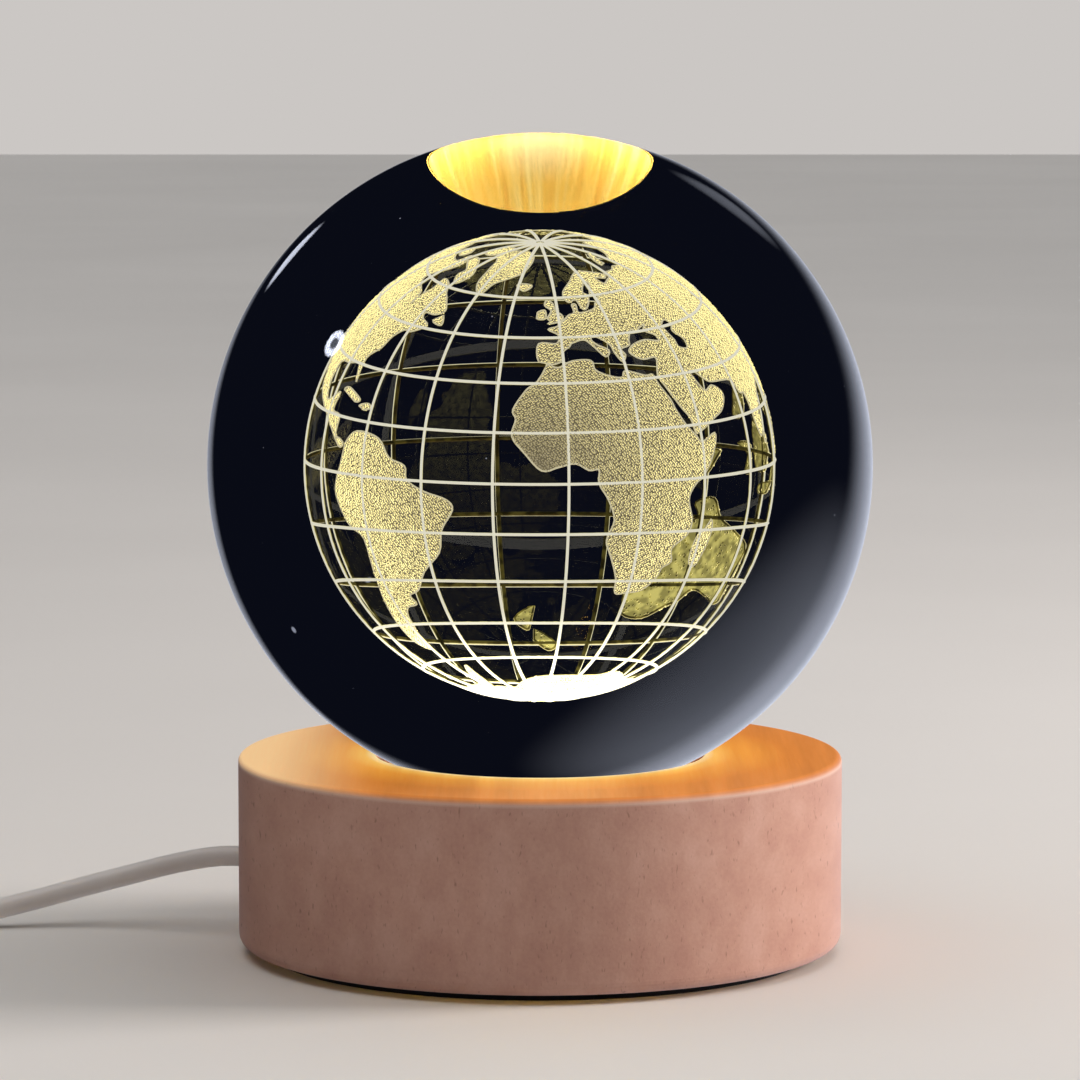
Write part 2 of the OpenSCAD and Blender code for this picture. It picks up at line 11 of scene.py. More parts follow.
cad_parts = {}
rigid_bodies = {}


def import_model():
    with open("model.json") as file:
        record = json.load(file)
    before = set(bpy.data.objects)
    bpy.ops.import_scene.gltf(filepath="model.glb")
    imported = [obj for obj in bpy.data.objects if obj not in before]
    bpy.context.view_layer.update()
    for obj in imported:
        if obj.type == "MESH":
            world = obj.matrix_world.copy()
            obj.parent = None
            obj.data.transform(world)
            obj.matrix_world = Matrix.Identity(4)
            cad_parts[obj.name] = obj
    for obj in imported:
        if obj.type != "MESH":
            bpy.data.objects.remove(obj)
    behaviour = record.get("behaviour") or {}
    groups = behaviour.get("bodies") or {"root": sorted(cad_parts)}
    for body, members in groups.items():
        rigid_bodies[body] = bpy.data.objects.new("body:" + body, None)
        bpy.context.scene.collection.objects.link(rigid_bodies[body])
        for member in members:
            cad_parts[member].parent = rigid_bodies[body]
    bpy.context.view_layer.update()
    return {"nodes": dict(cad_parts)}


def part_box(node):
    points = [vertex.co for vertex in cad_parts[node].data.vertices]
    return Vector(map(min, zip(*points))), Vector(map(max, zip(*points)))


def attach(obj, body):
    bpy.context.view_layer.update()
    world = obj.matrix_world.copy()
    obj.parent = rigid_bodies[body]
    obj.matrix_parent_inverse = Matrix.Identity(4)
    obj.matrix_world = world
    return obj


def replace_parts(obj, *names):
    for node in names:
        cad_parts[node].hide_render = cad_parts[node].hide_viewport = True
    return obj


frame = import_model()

MM = 0.001


# ---------- sizes, from the frame ----------

ball_low, ball_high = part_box("crystal_ball")
block_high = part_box("base_block")[1]

BALL_R = (ball_high.x - ball_low.x) / 2
BALL_Z = ball_high.z - BALL_R
FLAT_Z = ball_low.z
FLAT_R = math.sqrt(BALL_R ** 2 - (BALL_Z - FLAT_Z) ** 2)
BLOCK_TOP = block_high.z
BLOCK_R = block_high.x
WINDOW_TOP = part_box("light_window")[1].z
MOUTH_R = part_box("seat_ring")[1].x + 0.3 * MM
LINE_R = 0.15 * MM
COAST_R = 0.6 * LINE_R
GLOBE_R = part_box("engraved_parallels")[1].x - 0.18 * MM
FRONT_LON = -8.5  # degrees east, towards the camera
PARALLEL_STEP = 15
LAST_PARALLEL = 60
MERIDIANS = 16
AROUND = 256  # points round a turned piece
BUTTON_LIP = 0.8 * MM
BUTTON_PLAY = 0.2 * MM
RELIEF_L = 5 * MM
RELIEF_RIBS = 4


# ---------- small tools ----------

def linear(code, strength=1.0):
    """An sRGB hex colour as the linear values that shaders take."""
    parts = [int(code[i:i + 2], 16) / 255 for i in (1, 3, 5)]
    return [strength * (c / 12.92 if c <= 0.04045 else ((c + 0.055) / 1.055) ** 2.4) for c in parts] + [1.0]


def feed(tree, node, inputs):
    """Gives a node its inputs: plain values, hex colours, outputs, or nodes for their first output in use."""
    for name, value in inputs.items():
        if isinstance(value, bpy.types.Node):
            value = next(out for out in value.outputs if out.enabled)
        if isinstance(value, bpy.types.NodeSocket):
            tree.links.new(value, node.inputs[name])
        else:
            node.inputs[name].default_value = linear(value) if isinstance(value, str) else value


def add(tree, kind, inputs=None, stops=(), **settings):
    """Adds a node with its settings and inputs. Stops are a colour ramp's places and colours."""
    node = tree.nodes.new("ShaderNode" + kind)
    for i, (place, colour) in enumerate(stops):
        stop = node.color_ramp.elements[i] if i < 2 else node.color_ramp.elements.new(place)
        stop.position, stop.color = place, linear(colour) if isinstance(colour, str) else colour
    for name, value in settings.items():
        setattr(node, name, value)
    feed(tree, node, inputs or {})
    return node


def material(name, **plain):
    """A new material with one Principled shader, whose sockets take plain values here."""
    made = bpy.data.materials.new(name)
    made.use_nodes = True
    shader = made.node_tree.nodes["Principled BSDF"]
    feed(made.node_tree, shader, {socket.replace("_", " "): value for socket, value in plain.items()})
    return made, made.node_tree, shader


def placed(name, data):
    """A new object in the scene."""
    made = bpy.data.objects.new(name, data)
    bpy.context.scene.collection.objects.link(made)
    return made


def piece(name, points, faces, paint, body, smooth=True, sharp=None):
    """A mesh piece that rides on a body. Edges that turn by more than sharp degrees stay crisp."""
    mesh = bpy.data.meshes.new(name)
    mesh.from_pydata(points, [], faces)
    mesh.polygons.foreach_set("use_smooth", [smooth] * len(mesh.polygons))
    if sharp:
        mesh.set_sharp_from_angle(angle=math.radians(sharp))
    mesh.materials.append(paint)
    made = placed(name, mesh)
    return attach(made, body)


def turned(profile):
    """Points and faces of a shape turned on a lathe from a profile of (radius, height), with flat ends."""
    points, faces = [], []
    for radius, height in profile:
        for k in range(AROUND):
            a = 2 * math.pi * k / AROUND
            points.append((radius * math.cos(a), radius * math.sin(a), height))
    for i in range(len(profile) - 1):
        for k in range(AROUND):
            a, b = i * AROUND + k, i * AROUND + (k + 1) % AROUND
            faces.append((a, b, b + AROUND, a + AROUND))
    faces.append(tuple(reversed(range(AROUND))))
    faces.append(tuple(range(len(points) - AROUND, len(points))))
    return points, faces


def finish(name, dark, light, grain, depth, rough=0.4, metallic=0.0, ior=1.5):
    """Two close tones in a grain of a size and depth in millimetres, which also breaks up the gloss."""
    made, tree, shader = material(name, Metallic=metallic, IOR=ior)
    place = add(tree, "TexCoord").outputs["Object"]
    fine = add(tree, "TexNoise", {"Vector": place, "Scale": 0.5 / (grain * MM), "Detail": 1})
    broad = add(tree, "TexNoise", {"Vector": place, "Scale": 90, "Detail": 1})
    both = add(tree, "Mix", {"Factor": 0.6, "A": fine, "B": broad})
    tint = add(tree, "ValToRGB", {"Fac": both}, stops=[(0.3, dark), (0.7, light)])
    gloss = add(tree, "MapRange", {"Value": fine, "To Min": rough - 0.06, "To Max": rough + 0.06})
    bump = add(tree, "Bump", {"Height": fine, "Strength": 0.3, "Distance": depth * MM})
    feed(tree, shader, {"Base Color": tint, "Roughness": gloss, "Normal": bump})
    return made


def outline(half_l, half_w, corner, count=72):
    """Points round a rounded rectangle: a stadium when corner is half_w, and a circle when all are equal."""
    points = []
    for k in range(count):
        a = 2 * math.pi * (k + 0.5) / count
        points.append((math.copysign(half_l - corner, math.cos(a)) + corner * math.cos(a),
                       math.copysign(half_w - corner, math.sin(a)) + corner * math.sin(a)))
    return points


def lofted(rings, loop=False):
    """Points and faces of a skin over rings of equal count, closed on itself or with flat ends."""
    count = len(rings[0])
    points = [p for ring in rings for p in ring]
    faces = []
    for i in range(len(rings) if loop else len(rings) - 1):
        low, high = i * count, (i + 1) % len(rings) * count
        faces += [(low + k, low + (k + 1) % count, high + (k + 1) % count, high + k) for k in range(count)]
    if not loop:
        faces.append(tuple(reversed(range(count))))
        faces.append(tuple(range(len(points) - count, len(points))))
    return points, faces


def eased(r, steps=5):
    """A quarter round of radius r, as (inset, distance below the edge), from the side to the top."""
    turns = [math.pi / 2 * k / steps for k in range(steps + 1)]
    return [(r * (1 - math.cos(a)), r * (1 - math.sin(a))) for a in turns]


def smooth_route(points, between):
    """A Catmull-Rom curve through the points, with this many steps between each two."""
    line = [Vector(p) for p in points]
    padded = [2 * line[0] - line[1]] + line + [2 * line[-1] - line[-2]]
    out = []
    for a, b, c, d in zip(padded, padded[1:], padded[2:], padded[3:]):
        for i in range(between):
            t = i / between
            out.append(0.5 * (2 * b + (c - a) * t + (2 * a - 5 * b + 4 * c - d) * t ** 2
                              + (3 * b - a - 3 * c + d) * t ** 3))
    return out + [line[-1]]


# ---------- camera ----------

VIEW_DISTANCE = 650 * MM
VIEW_HEIGHT = 5.5  # degrees above the ball's centre
AIM_BELOW = 9 * MM


def make_camera():
    height = math.radians(VIEW_HEIGHT)
    lens = bpy.data.cameras.new("camera")
    lens.lens = 180
    lens.sensor_width = 36
    lens.clip_start = 0.01
    camera = placed("camera", lens)
    camera.location = (0, -VIEW_DISTANCE * math.cos(height), BALL_Z + VIEW_DISTANCE * math.sin(height))
    aim = Vector((0, 0, BALL_Z - AIM_BELOW)) - camera.location
    camera.rotation_euler = aim.to_track_quat("-Z", "Y").to_euler()
    bpy.context.scene.camera = camera


make_camera()


# ---------- cord ----------

CORD_D = 2.5 * MM
LEAD_ROUTE = [(-39.5, 14.3, 8.9), (-45, 15.8, 7.8), (-51, 16.4, 6.2), (-57, 16, 4.7), (-63, 15, 3.2),
              (-69, 13.6, 2), (-75, 12.2, 1.4), (-81, 11.3, 1.25), (-86, 11, 1.25), (-91.5, 11, 1.25),
              (-97, 11, 1.25)]
TAIL_ROUTE = [(-120.5, -12, 8.2), (-120.5, -18, 6.2), (-120.2, -24, 4.4), (-118.4, -29.2, 3.6),
              (-115, -32.8, 3.9), (-110, -34, 4.5), (-106, -34, 4.5)]
END_ROUTE = [(-84, -34, 4.5), (-80, -34, 4.5), (-77, -34, 4.5), (-72.4, -35.2, 3.4), (-68.6, -38.8, 1.9),
             (-67, -44, 1.25), (-68.2, -49, 1.9), (-72, -52.8, 3.3), (-77, -54, 4), (-79, -54, 4)]
EXIT_ANGLE = 160
COIL_AT = (-104, -5.5)
COIL_RADII = (16.5, 14, 11.5)
COIL_LAYERS = 4
COIL_TURNS = 11.25


def coil_turns(steps=32):
    """Neat wound turns: each layer goes in or out a cord's width at a time, and then up a cord's width."""
    rings = []
    for layer in range(COIL_LAYERS):
        radii = COIL_RADII if layer % 2 == 0 else COIL_RADII[::-1]
        rings += [(r, CORD_D / MM * (layer + 0.5)) for r in radii]
    stay, shift = 0.82, 0.18  # shares of a turn
    points = []
    for i in range(1, round(COIL_TURNS * steps)):
        turn, part = divmod(i / steps, 1)
        (r0, z0), (r1, z1) = rings[int(turn)], rings[min(int(turn) + 1, len(rings) - 1)]
        step = min(max((part - stay) / shift, 0), 1)
        step = step * step * (3 - 2 * step)
        angle = math.radians(90 + 360 * i / steps)
        r, z = r0 + (r1 - r0) * step, z0 + (z1 - z0) * step
        points.append((COIL_AT[0] + r * math.cos(angle), COIL_AT[1] + r * math.sin(angle), z))
    return points


def cord_curve(name, route_mm, between, paint):
    line = smooth_route([Vector(p) * MM for p in route_mm], between)
    curve = bpy.data.curves.new(name, "CURVE")
    curve.dimensions = "3D"
    curve.bevel_depth = CORD_D / 2
    curve.bevel_resolution = 5
    curve.use_fill_caps = True
    spline = curve.splines.new("POLY")
    spline.points.add(len(line) - 1)
    for point, place in zip(spline.points, line):
        point.co = (*place, 1)
    curve.materials.append(paint)
    made = placed(name, curve)
    length = sum((b - a).length for a, b in zip(line, line[1:]))
    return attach(made, "stand"), length


def soft_pvc():
    # Extruded soft PVC: white, a little waxy, with a faint drag from the die along it.
    made, tree, shader = material("extruded_soft_pvc", Roughness=0.38, IOR=1.53)
    place = add(tree, "TexCoord").outputs["Object"]
    cloud = add(tree, "TexNoise", {"Vector": place, "Scale": 90, "Detail": 4})
    grain = add(tree, "TexNoise", {"Vector": place, "Scale": 2600, "Detail": 2})
    tint = add(tree, "ValToRGB", {"Fac": cloud}, stops=[(0.3, "#E9E1DD"), (0.7, "#F6F1EE")])
    bump = add(tree, "Bump", {"Height": grain, "Strength": 0.12, "Distance": 0.05 * MM})
    feed(tree, shader, {"Base Color": tint, "Normal": bump})
    return made


# ---------- pieces on the cord ----------

def white_abs():
    # White ABS off a polished mould: bright, with a soft gloss. The tones differ only a little.
    return finish("moulded_white_abs", "#EFEDE9", "#F5F3F0", 0.6, 0.003, rough=0.3, ior=1.54)


def plated_abs():
    # ABS plated with satin nickel: a silvery metal skin, a little softer than polished steel.
    return finish("satin_plated_abs", "#C6C5C2", "#D6D5D2", 0.3, 0.004, rough=0.34, metallic=1.0)


def stadium_rings(low, high, steps):
    """Rings in a box's outline at (inset, height) steps. All of it is in metres."""
    mid, half = (low + high) / 2, (high - low) / 2
    return [[(mid.x + x, mid.y + y, z) for x, y in outline(half.x - inset, half.y - inset, half.y - inset)]
            for inset, z in steps]


def make_switch_top(paint):
    """The upper case: an eased top edge, a fine round at the parting line, and the button's opening."""
    low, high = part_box("switch_upper_case")
    button_low, button_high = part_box("switch_button")
    edge, part_line, case_wall, rim = 0.9 * MM, 0.3 * MM, 1.2 * MM, 0.3 * MM
    lip = Vector((BUTTON_LIP - BUTTON_PLAY, BUTTON_LIP - BUTTON_PLAY, 0))
    steps = [(case_wall, low.z), (part_line, low.z), (0.1 * MM, low.z + 0.1 * MM), (0, low.z + part_line)]
    steps += [(inset, high.z - below) for inset, below in eased(edge)]
    rings = stadium_rings(low, high, steps)
    hole = [(-inset, high.z - below) for inset, below in reversed(eased(rim, 3))]
    hole.append((0, high.z - case_wall))
    rings += stadium_rings(button_low + lip, button_high - lip, hole)
    rings += stadium_rings(low, high, [(case_wall, high.z - case_wall)])
    made = piece("switch_top", *lofted(rings, loop=True), paint, "stand", sharp=40)
    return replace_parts(made, "switch_upper_case")


def make_button(paint):
    """The button: a flange that keeps it in, an eased top edge, and a shallow dish for the finger."""
    low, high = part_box("switch_button")
    flange, edge = 1 * MM, 0.45 * MM
    steps = [(0, low.z), (0, low.z + flange), (BUTTON_LIP, low.z + flange)]
    steps += [(BUTTON_LIP + inset, high.z - below) for inset, below in eased(edge)]
    dish = [(0.9, 0.04), (1.5, 0.12), (2.1, 0.18), (2.6, 0.2)]  # how far in, and how deep
    steps += [(BUTTON_LIP + inset * MM, high.z - below * MM) for inset, below in dish]
    made = piece("press_button", *lofted(stadium_rings(low, high, steps)), paint, "button", sharp=40)
    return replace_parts(made, "switch_button")


def make_plug_grip(paint):
    """The plug's moulded body: soft edges all round, and a ribbed strain relief that tapers to the cord."""
    low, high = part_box("plug_body")
    middle_y, middle_z = (low.y + high.y) / 2, (low.z + high.z) / 2
    half_w, half_h, corner, edge = (high.y - low.y) / 2, (high.z - low.z) / 2, 2 * MM, 0.8 * MM
    face = high.x - RELIEF_L
    thick, taper, groove = 2.5 * MM, 0.6 * MM, 0.22 * MM
    rings = []

    def ring(x, half_y, half_z, round_r):
        rings.append([(x, middle_y + y, middle_z + z) for y, z in outline(half_y, half_z, round_r)])

    start = low.x + 0.05 * MM  # clear of the tongue block's end, which lies in the same plane
    for inset, below in reversed(eased(edge)):
        ring(start + below, half_w - inset, half_h - inset, corner - inset)
    for inset, below in eased(edge):
        ring(face - below, half_w - inset, half_h - inset, corner - inset)
    for k in range(4 * RELIEF_RIBS + 1):
        part = k / (4 * RELIEF_RIBS)
        r = thick - taper * part - (groove if k % 4 in (2, 3) else 0)
        ring(face + RELIEF_L * part, r, r, r)
    made = piece("plug_grip", *lofted(rings), paint, "stand", sharp=50)
    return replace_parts(made, "plug_body")


def make_cords():
    pvc = soft_pvc()
    out = BLOCK_R + 0.3 * MM
    angle = math.radians(EXIT_ANGLE)
    exit_mm = Vector((out * math.cos(angle), out * math.sin(angle), 9 * MM)) / MM
    lead, lead_length = cord_curve("usb_cord", [exit_mm, *LEAD_ROUTE, *coil_turns(), *TAIL_ROUTE], 3, pvc)
    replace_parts(lead, "cord_lead", "cord_coil", "cord_tail")
    end, end_length = cord_curve("usb_cord_end", END_ROUTE, 6, pvc)
    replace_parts(end, "cord_end")
    nodes = frame["nodes"]
    white = white_abs()
    inside = [nodes[name] for name in ("switch_screws", "switch_spring", "switch_terminals")]
    switch = [nodes["switch_lower_case"], make_switch_top(white), make_button(plated_abs()), *inside]
    plug = [make_plug_grip(white), nodes["plug_shell"], nodes["plug_tongue"], nodes["plug_contacts"]]


make_cords()


# ---------- crystal ball ----------

def optical_crystal():
    # K9 crystal, cast and polished: water clear, with a hard bright gloss.
    made, tree, shader = material("polished_optical_crystal", Base_Color="#F6F8FF", Roughness=0.0,
                                  IOR=1.517, Transmission_Weight=1.0)
    # A few specks of dust, 0.2 mm across and some 6 mm apart: about twenty on the ball. Their glint is a
    # painted highlight, a faint white emission, as if they caught the light.
    place = add(tree, "TexCoord").outputs["Object"]
    apart = add(tree, "TexVoronoi", {"Vector": place, "Scale": 1 / (6 * MM)})
    speck = add(tree, "MapRange", {"Value": apart, "From Min": 0.012, "From Max": 0.02, "To Min": 0.35,
                                   "To Max": 0})
    shader.inputs["Emission Color"].default_value = linear("#E4EAFF")
    feed(tree, shader, {"Emission Strength": speck})
    return made


def make_ball():
    rings = 200
    low, top = math.asin((FLAT_Z - BALL_Z) / BALL_R), math.radians(89.7)
    rise = [low + (top - low) * i / rings for i in range(rings + 1)]
    profile = [(BALL_R * math.cos(a), BALL_Z + BALL_R * math.sin(a)) for a in rise]
    ball = piece("polished_ball", *turned(profile), optical_crystal(), "globe", sharp=25)
    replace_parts(ball, "crystal_ball")


def painted_flat_glow():
    # Painted light: the ground matt flat is drawn as a glowing disc, whose emission paints the lamp-lit beech
    # grain under it.
    made, tree, shader = material("painted_glow_of_lit_flat", Roughness=0.9, Base_Color="#2A1A08",
                                  Emission_Strength=1.0)
    place = add(tree, "TexCoord").outputs["Object"]
    # grain lines 1 to 2 mm apart, along Y
    stretched = add(tree, "Mapping", {"Vector": place, "Scale": (1000, 30, 1)})
    lines = add(tree, "TexNoise", {"Vector": stretched, "Scale": 1, "Detail": 3, "Roughness": 0.55})
    wood = add(tree, "ValToRGB", {"Fac": lines},
               stops=[(0.3, "#F0AC42"), (0.48, "#FAC24E"), (0.7, "#FFD773")])
    far = add(tree, "VectorMath", {0: place, 1: (0, 0, FLAT_Z)}, operation="DISTANCE")
    near = add(tree, "MapRange", {"Value": far, "From Min": 1 * MM, "From Max": 9 * MM, "To Min": 0.7,
                                  "To Max": 0.0}, interpolation_type="SMOOTHSTEP")
    glow = add(tree, "Mix", {"Factor": near, "A": wood, "B": "#FFEBA8"}, data_type="RGBA")
    power = add(tree, "MapRange", {"Value": far, "From Min": 3 * MM, "From Max": FLAT_R, "To Min": 7.5,
                                   "To Max": 16.5})
    # The crystal's inner face mirrors only about a tenth of the light, so the painted glow of the flat is far
    # stronger for a ray that has been mirrored on its way. Seen straight through the crystal, as from above,
    # it just glows.
    depth = add(tree, "LightPath").outputs["Ray Depth"]
    mirrored = add(tree, "Math", {0: depth, 1: 1.5}, operation="GREATER_THAN")
    power = add(tree, "Mix", {"Factor": mirrored, "A": 0.8, "B": power})
    feed(tree, shader, {"Emission Color": glow, "Emission Strength": power})
    return made


def make_painted_glow_disc():
    """A thin disc in the crystal, just above the ball's flat and a little smaller, that glows with painted
    light.
    """
    low, top, middle, radius = FLAT_Z + 0.05 * MM, FLAT_Z + 0.07 * MM, 0.02 * MM, FLAT_R - 0.04 * MM
    profile = [(middle, low), (radius, low), (radius, top), (middle, top)]
    flat = piece("ground_flat", *turned(profile), painted_flat_glow(), "globe", sharp=25)
    flat.visible_diffuse = False


make_ball()
make_painted_glow_disc()


# ---------- engraved globe ----------

LAND = {
    "africa": [
        (-6, 36), (-2, 35), (3, 37), (10, 37), (11, 34), (15, 32), (20, 31), (22, 33), (29, 31), (32, 31),
        (33, 28), (36, 23), (37, 20), (40, 15), (43, 12), (45, 10), (51, 12), (50, 8), (46, 2), (41, -2),
        (39, -6), (41, -12), (40, -16), (35, -20), (36, -24), (33, -26), (32, -29), (28, -33), (22, -34),
        (18, -34), (17, -29), (14, -22), (12, -17), (14, -11), (12, -5), (9, 0), (9, 4), (6, 4), (2, 6),
        (-3, 5), (-8, 4), (-13, 9), (-17, 14), (-16, 19), (-17, 22), (-13, 28), (-10, 30), (-7, 34)],
    "madagascar": [(49, -12), (50, -16), (47, -25), (44, -25), (43, -22), (44, -17), (47, -15)],
    "eurasia": [
        (-9, 37), (-9, 43), (-2, 43), (-1, 46), (-5, 48), (-1, 49), (2, 51), (5, 53), (8, 54), (8, 57),
        (10, 57), (10, 54), (14, 54), (19, 55), (21, 57), (24, 57), (24, 59), (30, 60), (23, 60), (21, 61),
        (25, 65), (22, 66), (17, 62), (19, 60), (16, 56), (13, 55), (11, 59), (7, 58), (5, 60), (6, 63),
        (13, 67), (19, 70), (26, 71), (41, 68), (40, 66), (33, 67), (35, 64), (40, 65), (44, 66), (44, 68),
        (54, 68), (60, 69), (68, 68), (67, 71), (73, 72), (80, 73), (88, 75), (104, 78), (113, 74),
        (127, 73), (140, 73), (160, 70), (178, 69), (190, 66), (180, 65), (177, 62), (170, 60), (163, 58),
        (163, 55), (157, 51), (156, 57), (160, 61), (155, 59), (143, 59), (136, 55), (141, 53), (140, 48),
        (132, 43), (128, 40), (129, 35), (126, 35), (125, 39), (121, 40), (118, 39), (122, 37), (119, 35),
        (122, 31), (120, 27), (115, 22), (108, 21), (106, 19), (109, 12), (105, 9), (103, 11), (100, 13),
        (100, 9), (104, 2), (101, 3), (98, 8), (98, 16), (94, 16), (91, 22), (87, 21), (80, 15), (80, 12),
        (78, 8), (75, 12), (73, 20), (70, 21), (67, 25), (57, 26), (54, 27), (50, 30), (48, 30), (50, 26),
        (52, 24), (56, 25), (60, 22), (57, 18), (52, 16), (45, 13), (43, 13), (42, 17), (39, 21), (35, 28),
        (34, 31), (36, 36), (31, 36), (28, 37), (26, 39), (29, 41), (35, 42), (41, 41), (41, 43), (37, 45),
        (39, 47), (35, 46), (33, 45), (31, 46), (28, 43), (27, 41), (23, 40), (24, 38), (22, 36), (20, 39),
        (19, 42), (14, 45), (12, 44), (14, 42), (18, 40), (16, 38), (12, 42), (9, 44), (4, 43), (3, 42),
        (0, 40), (-1, 37), (-5, 36)],
    "caspian": [(47, 45), (51, 47), (53, 45), (51, 43), (54, 40), (53, 37), (49, 38), (49, 41)],
    "britain": [
        (-5, 50), (1, 51), (2, 53), (-1, 55), (-2, 58), (-5, 59), (-6, 57), (-3, 55), (-5, 52), (-3, 51)],
    "ireland": [(-10, 52), (-6, 52), (-6, 55), (-8, 55), (-10, 54)],
    "iceland": [(-22, 64), (-18, 63), (-14, 65), (-16, 66), (-22, 66), (-24, 65)],
    "greenland": [
        (-73, 78), (-60, 82), (-32, 83), (-18, 80), (-22, 72), (-32, 68), (-40, 65), (-44, 60), (-51, 64),
        (-54, 70), (-60, 76)],
    "novaya_zemlya": [(52, 71), (56, 75), (68, 77), (58, 73), (57, 71)],
    "north_america": [
        (-168, 66), (-157, 71), (-141, 70), (-128, 70), (-115, 68), (-95, 68), (-94, 72), (-85, 69),
        (-87, 65), (-94, 61), (-94, 58), (-82, 55), (-80, 51), (-79, 55), (-77, 58), (-78, 62), (-70, 61),
        (-65, 58), (-61, 56), (-56, 52), (-60, 50), (-66, 50), (-65, 48), (-60, 46), (-66, 43), (-70, 43),
        (-74, 40), (-76, 36), (-81, 32), (-80, 25), (-82, 28), (-84, 30), (-90, 29), (-97, 28), (-98, 22),
        (-95, 18), (-91, 19), (-87, 21), (-88, 16), (-83, 15), (-83, 10), (-80, 9), (-78, 8), (-80, 7),
        (-86, 11), (-91, 14), (-96, 16), (-105, 20), (-109, 26), (-114, 31), (-110, 23), (-115, 29),
        (-118, 34), (-124, 40), (-124, 47), (-131, 55), (-140, 60), (-150, 60), (-158, 57), (-158, 59),
        (-165, 61)],
    "baffin": [(-85, 73), (-74, 72), (-62, 67), (-66, 62), (-73, 65), (-73, 68), (-88, 71)],
    "ellesmere": [(-90, 76), (-78, 76), (-66, 80), (-62, 82), (-75, 83), (-92, 81)],
    "victoria": [(-117, 70), (-105, 69), (-102, 72), (-116, 73)],
    "newfoundland": [(-59, 48), (-53, 47), (-56, 51)],
    "cuba": [(-85, 22), (-82, 23), (-75, 21), (-75, 20), (-78, 20)],
    "hispaniola": [(-74, 19), (-70, 20), (-68, 19), (-72, 18)],
    "south_america": [
        (-77, 8), (-72, 12), (-62, 11), (-57, 6), (-51, 4), (-50, 0), (-44, -3), (-37, -5), (-35, -8),
        (-39, -14), (-41, -21), (-48, -27), (-53, -33), (-58, -35), (-57, -38), (-62, -39), (-65, -42),
        (-66, -46), (-69, -51), (-68, -55), (-74, -52), (-75, -46), (-73, -37), (-71, -30), (-70, -18),
        (-76, -14), (-81, -6), (-80, -1), (-78, 3)],
    "australia": [
        (114, -22), (122, -18), (129, -15), (132, -11), (137, -12), (136, -15), (141, -17), (142, -11),
        (146, -19), (153, -25), (151, -33), (150, -37), (144, -38), (138, -35), (135, -34), (131, -31),
        (124, -33), (118, -35), (115, -33)],
    "new_zealand_north": [(173, -35), (178, -38), (175, -41), (174, -39)],
    "new_zealand_south": [(173, -41), (167, -45), (169, -47), (174, -43)],
    "new_guinea": [(131, -1), (138, -2), (147, -6), (150, -10), (143, -8), (138, -8), (133, -4)],
    "borneo": [(109, 1), (117, 7), (118, 1), (116, -4), (110, -3)],
    "sumatra": [(95, 6), (104, -2), (106, -6), (102, -4), (98, 1)],
    "java": [(105, -6), (114, -7), (114, -9), (107, -8)],
    "celebes": [(120, 1), (125, 1), (121, -1), (122, -5), (119, -4)],
    "philippines": [(120, 18), (122, 18), (126, 7), (122, 8), (121, 14)],
    "japan": [(130, 32), (136, 34), (141, 36), (142, 40), (145, 43), (142, 45), (139, 38), (132, 35)],
    "sri_lanka": [(80, 9), (82, 7), (80, 6)],
    "antarctica": [
        (-180, -78), (-150, -76), (-120, -74), (-100, -72), (-75, -73), (-65, -68), (-57, -63), (-62, -74),
        (-75, -77), (-60, -76), (-40, -78), (-25, -74), (-10, -71), (10, -70), (35, -69), (50, -66),
        (70, -68), (80, -67), (100, -66), (120, -67), (140, -66), (155, -69), (170, -72), (165, -78),
        (180, -78), (180, -90), (-180, -90)],
}


def on_globe(lon, lat, r=GLOBE_R):
    """Where a longitude and latitude, in degrees, lie on the engraved globe."""
    turn, rise = math.radians(lon - FRONT_LON - 90), math.radians(lat)
    out = r * math.cos(rise)
    return Vector((out * math.cos(turn), out * math.sin(turn), BALL_Z + r * math.sin(rise)))


def smooth_shore(name):
    """A land's coast as longitudes and latitudes. The southern land's coast runs right round the globe."""
    corners = [Vector((lon, lat, 0)) for lon, lat in LAND[name]]
    if name == SOUTHERN_LAND:
        route = smooth_route(corners[:-2], SHORE_STEPS)
    else:
        route = smooth_route(corners[-2:] + corners + corners[:2], SHORE_STEPS)
        route = route[2 * SHORE_STEPS:-2 * SHORE_STEPS - 1]
    return [(p.x, p.y) for p in route]


def inside(lon, lat, shore):
    crossings = 0
    x0, y0 = shore[-1]
    for x1, y1 in shore:
        if (y0 > lat) != (y1 > lat) and x0 + (x1 - x0) * (lat - y0) / (y1 - y0) > lon:
            crossings += 1
        x0, y0 = x1, y1
    return crossings % 2 == 1


def on_land(lon, lat):
    """True on land. The longitudes of the largest land run on past 180."""
    for east in (lon, lon + 360):
        for name, shore, (left, right, low, high) in SHORES:
            if low < lat < high and left < east < right and inside(east, lat, shore):
                return name != INLAND_SEA
    return False


SHORE_STEPS = 4
SOUTHERN_LAND = "antarctica"
INLAND_SEA = "caspian"
SHORES = []
for land in (INLAND_SEA, *(n for n in LAND if n != INLAND_SEA)):
    shore = smooth_shore(land) + ([(180, -90), (-180, -90)] if land == SOUTHERN_LAND else [])
    lons, lats = zip(*shore)
    SHORES.append((land, shore, (min(lons), max(lons), min(lats), max(lats))))


def tube(points, faces, line, r, sides=6, loop=False):
    """Adds a thin tube along a line to the points and faces of a mesh."""
    start = len(points)
    count = len(line)
    centre = Vector((0, 0, BALL_Z))
    for i, place in enumerate(line):
        after = line[(i + 1) % count] if loop or i + 1 < count else place
        before = line[i - 1] if loop or i > 0 else place
        along = (after - before).normalized()
        out = (place - centre).normalized()
        across = along.cross(out).normalized()
        for k in range(sides):
            a = 2 * math.pi * k / sides
            points.append(place + r * (math.cos(a) * out + math.sin(a) * across))
    for i in range(count if loop else count - 1):
        for k in range(sides):
            a, b = start + i * sides + k, start + i * sides + (k + 1) % sides
            c, d = start + (i + 1) % count * sides + (k + 1) % sides, start + (i + 1) % count * sides + k
            faces.append((a, b, c, d))


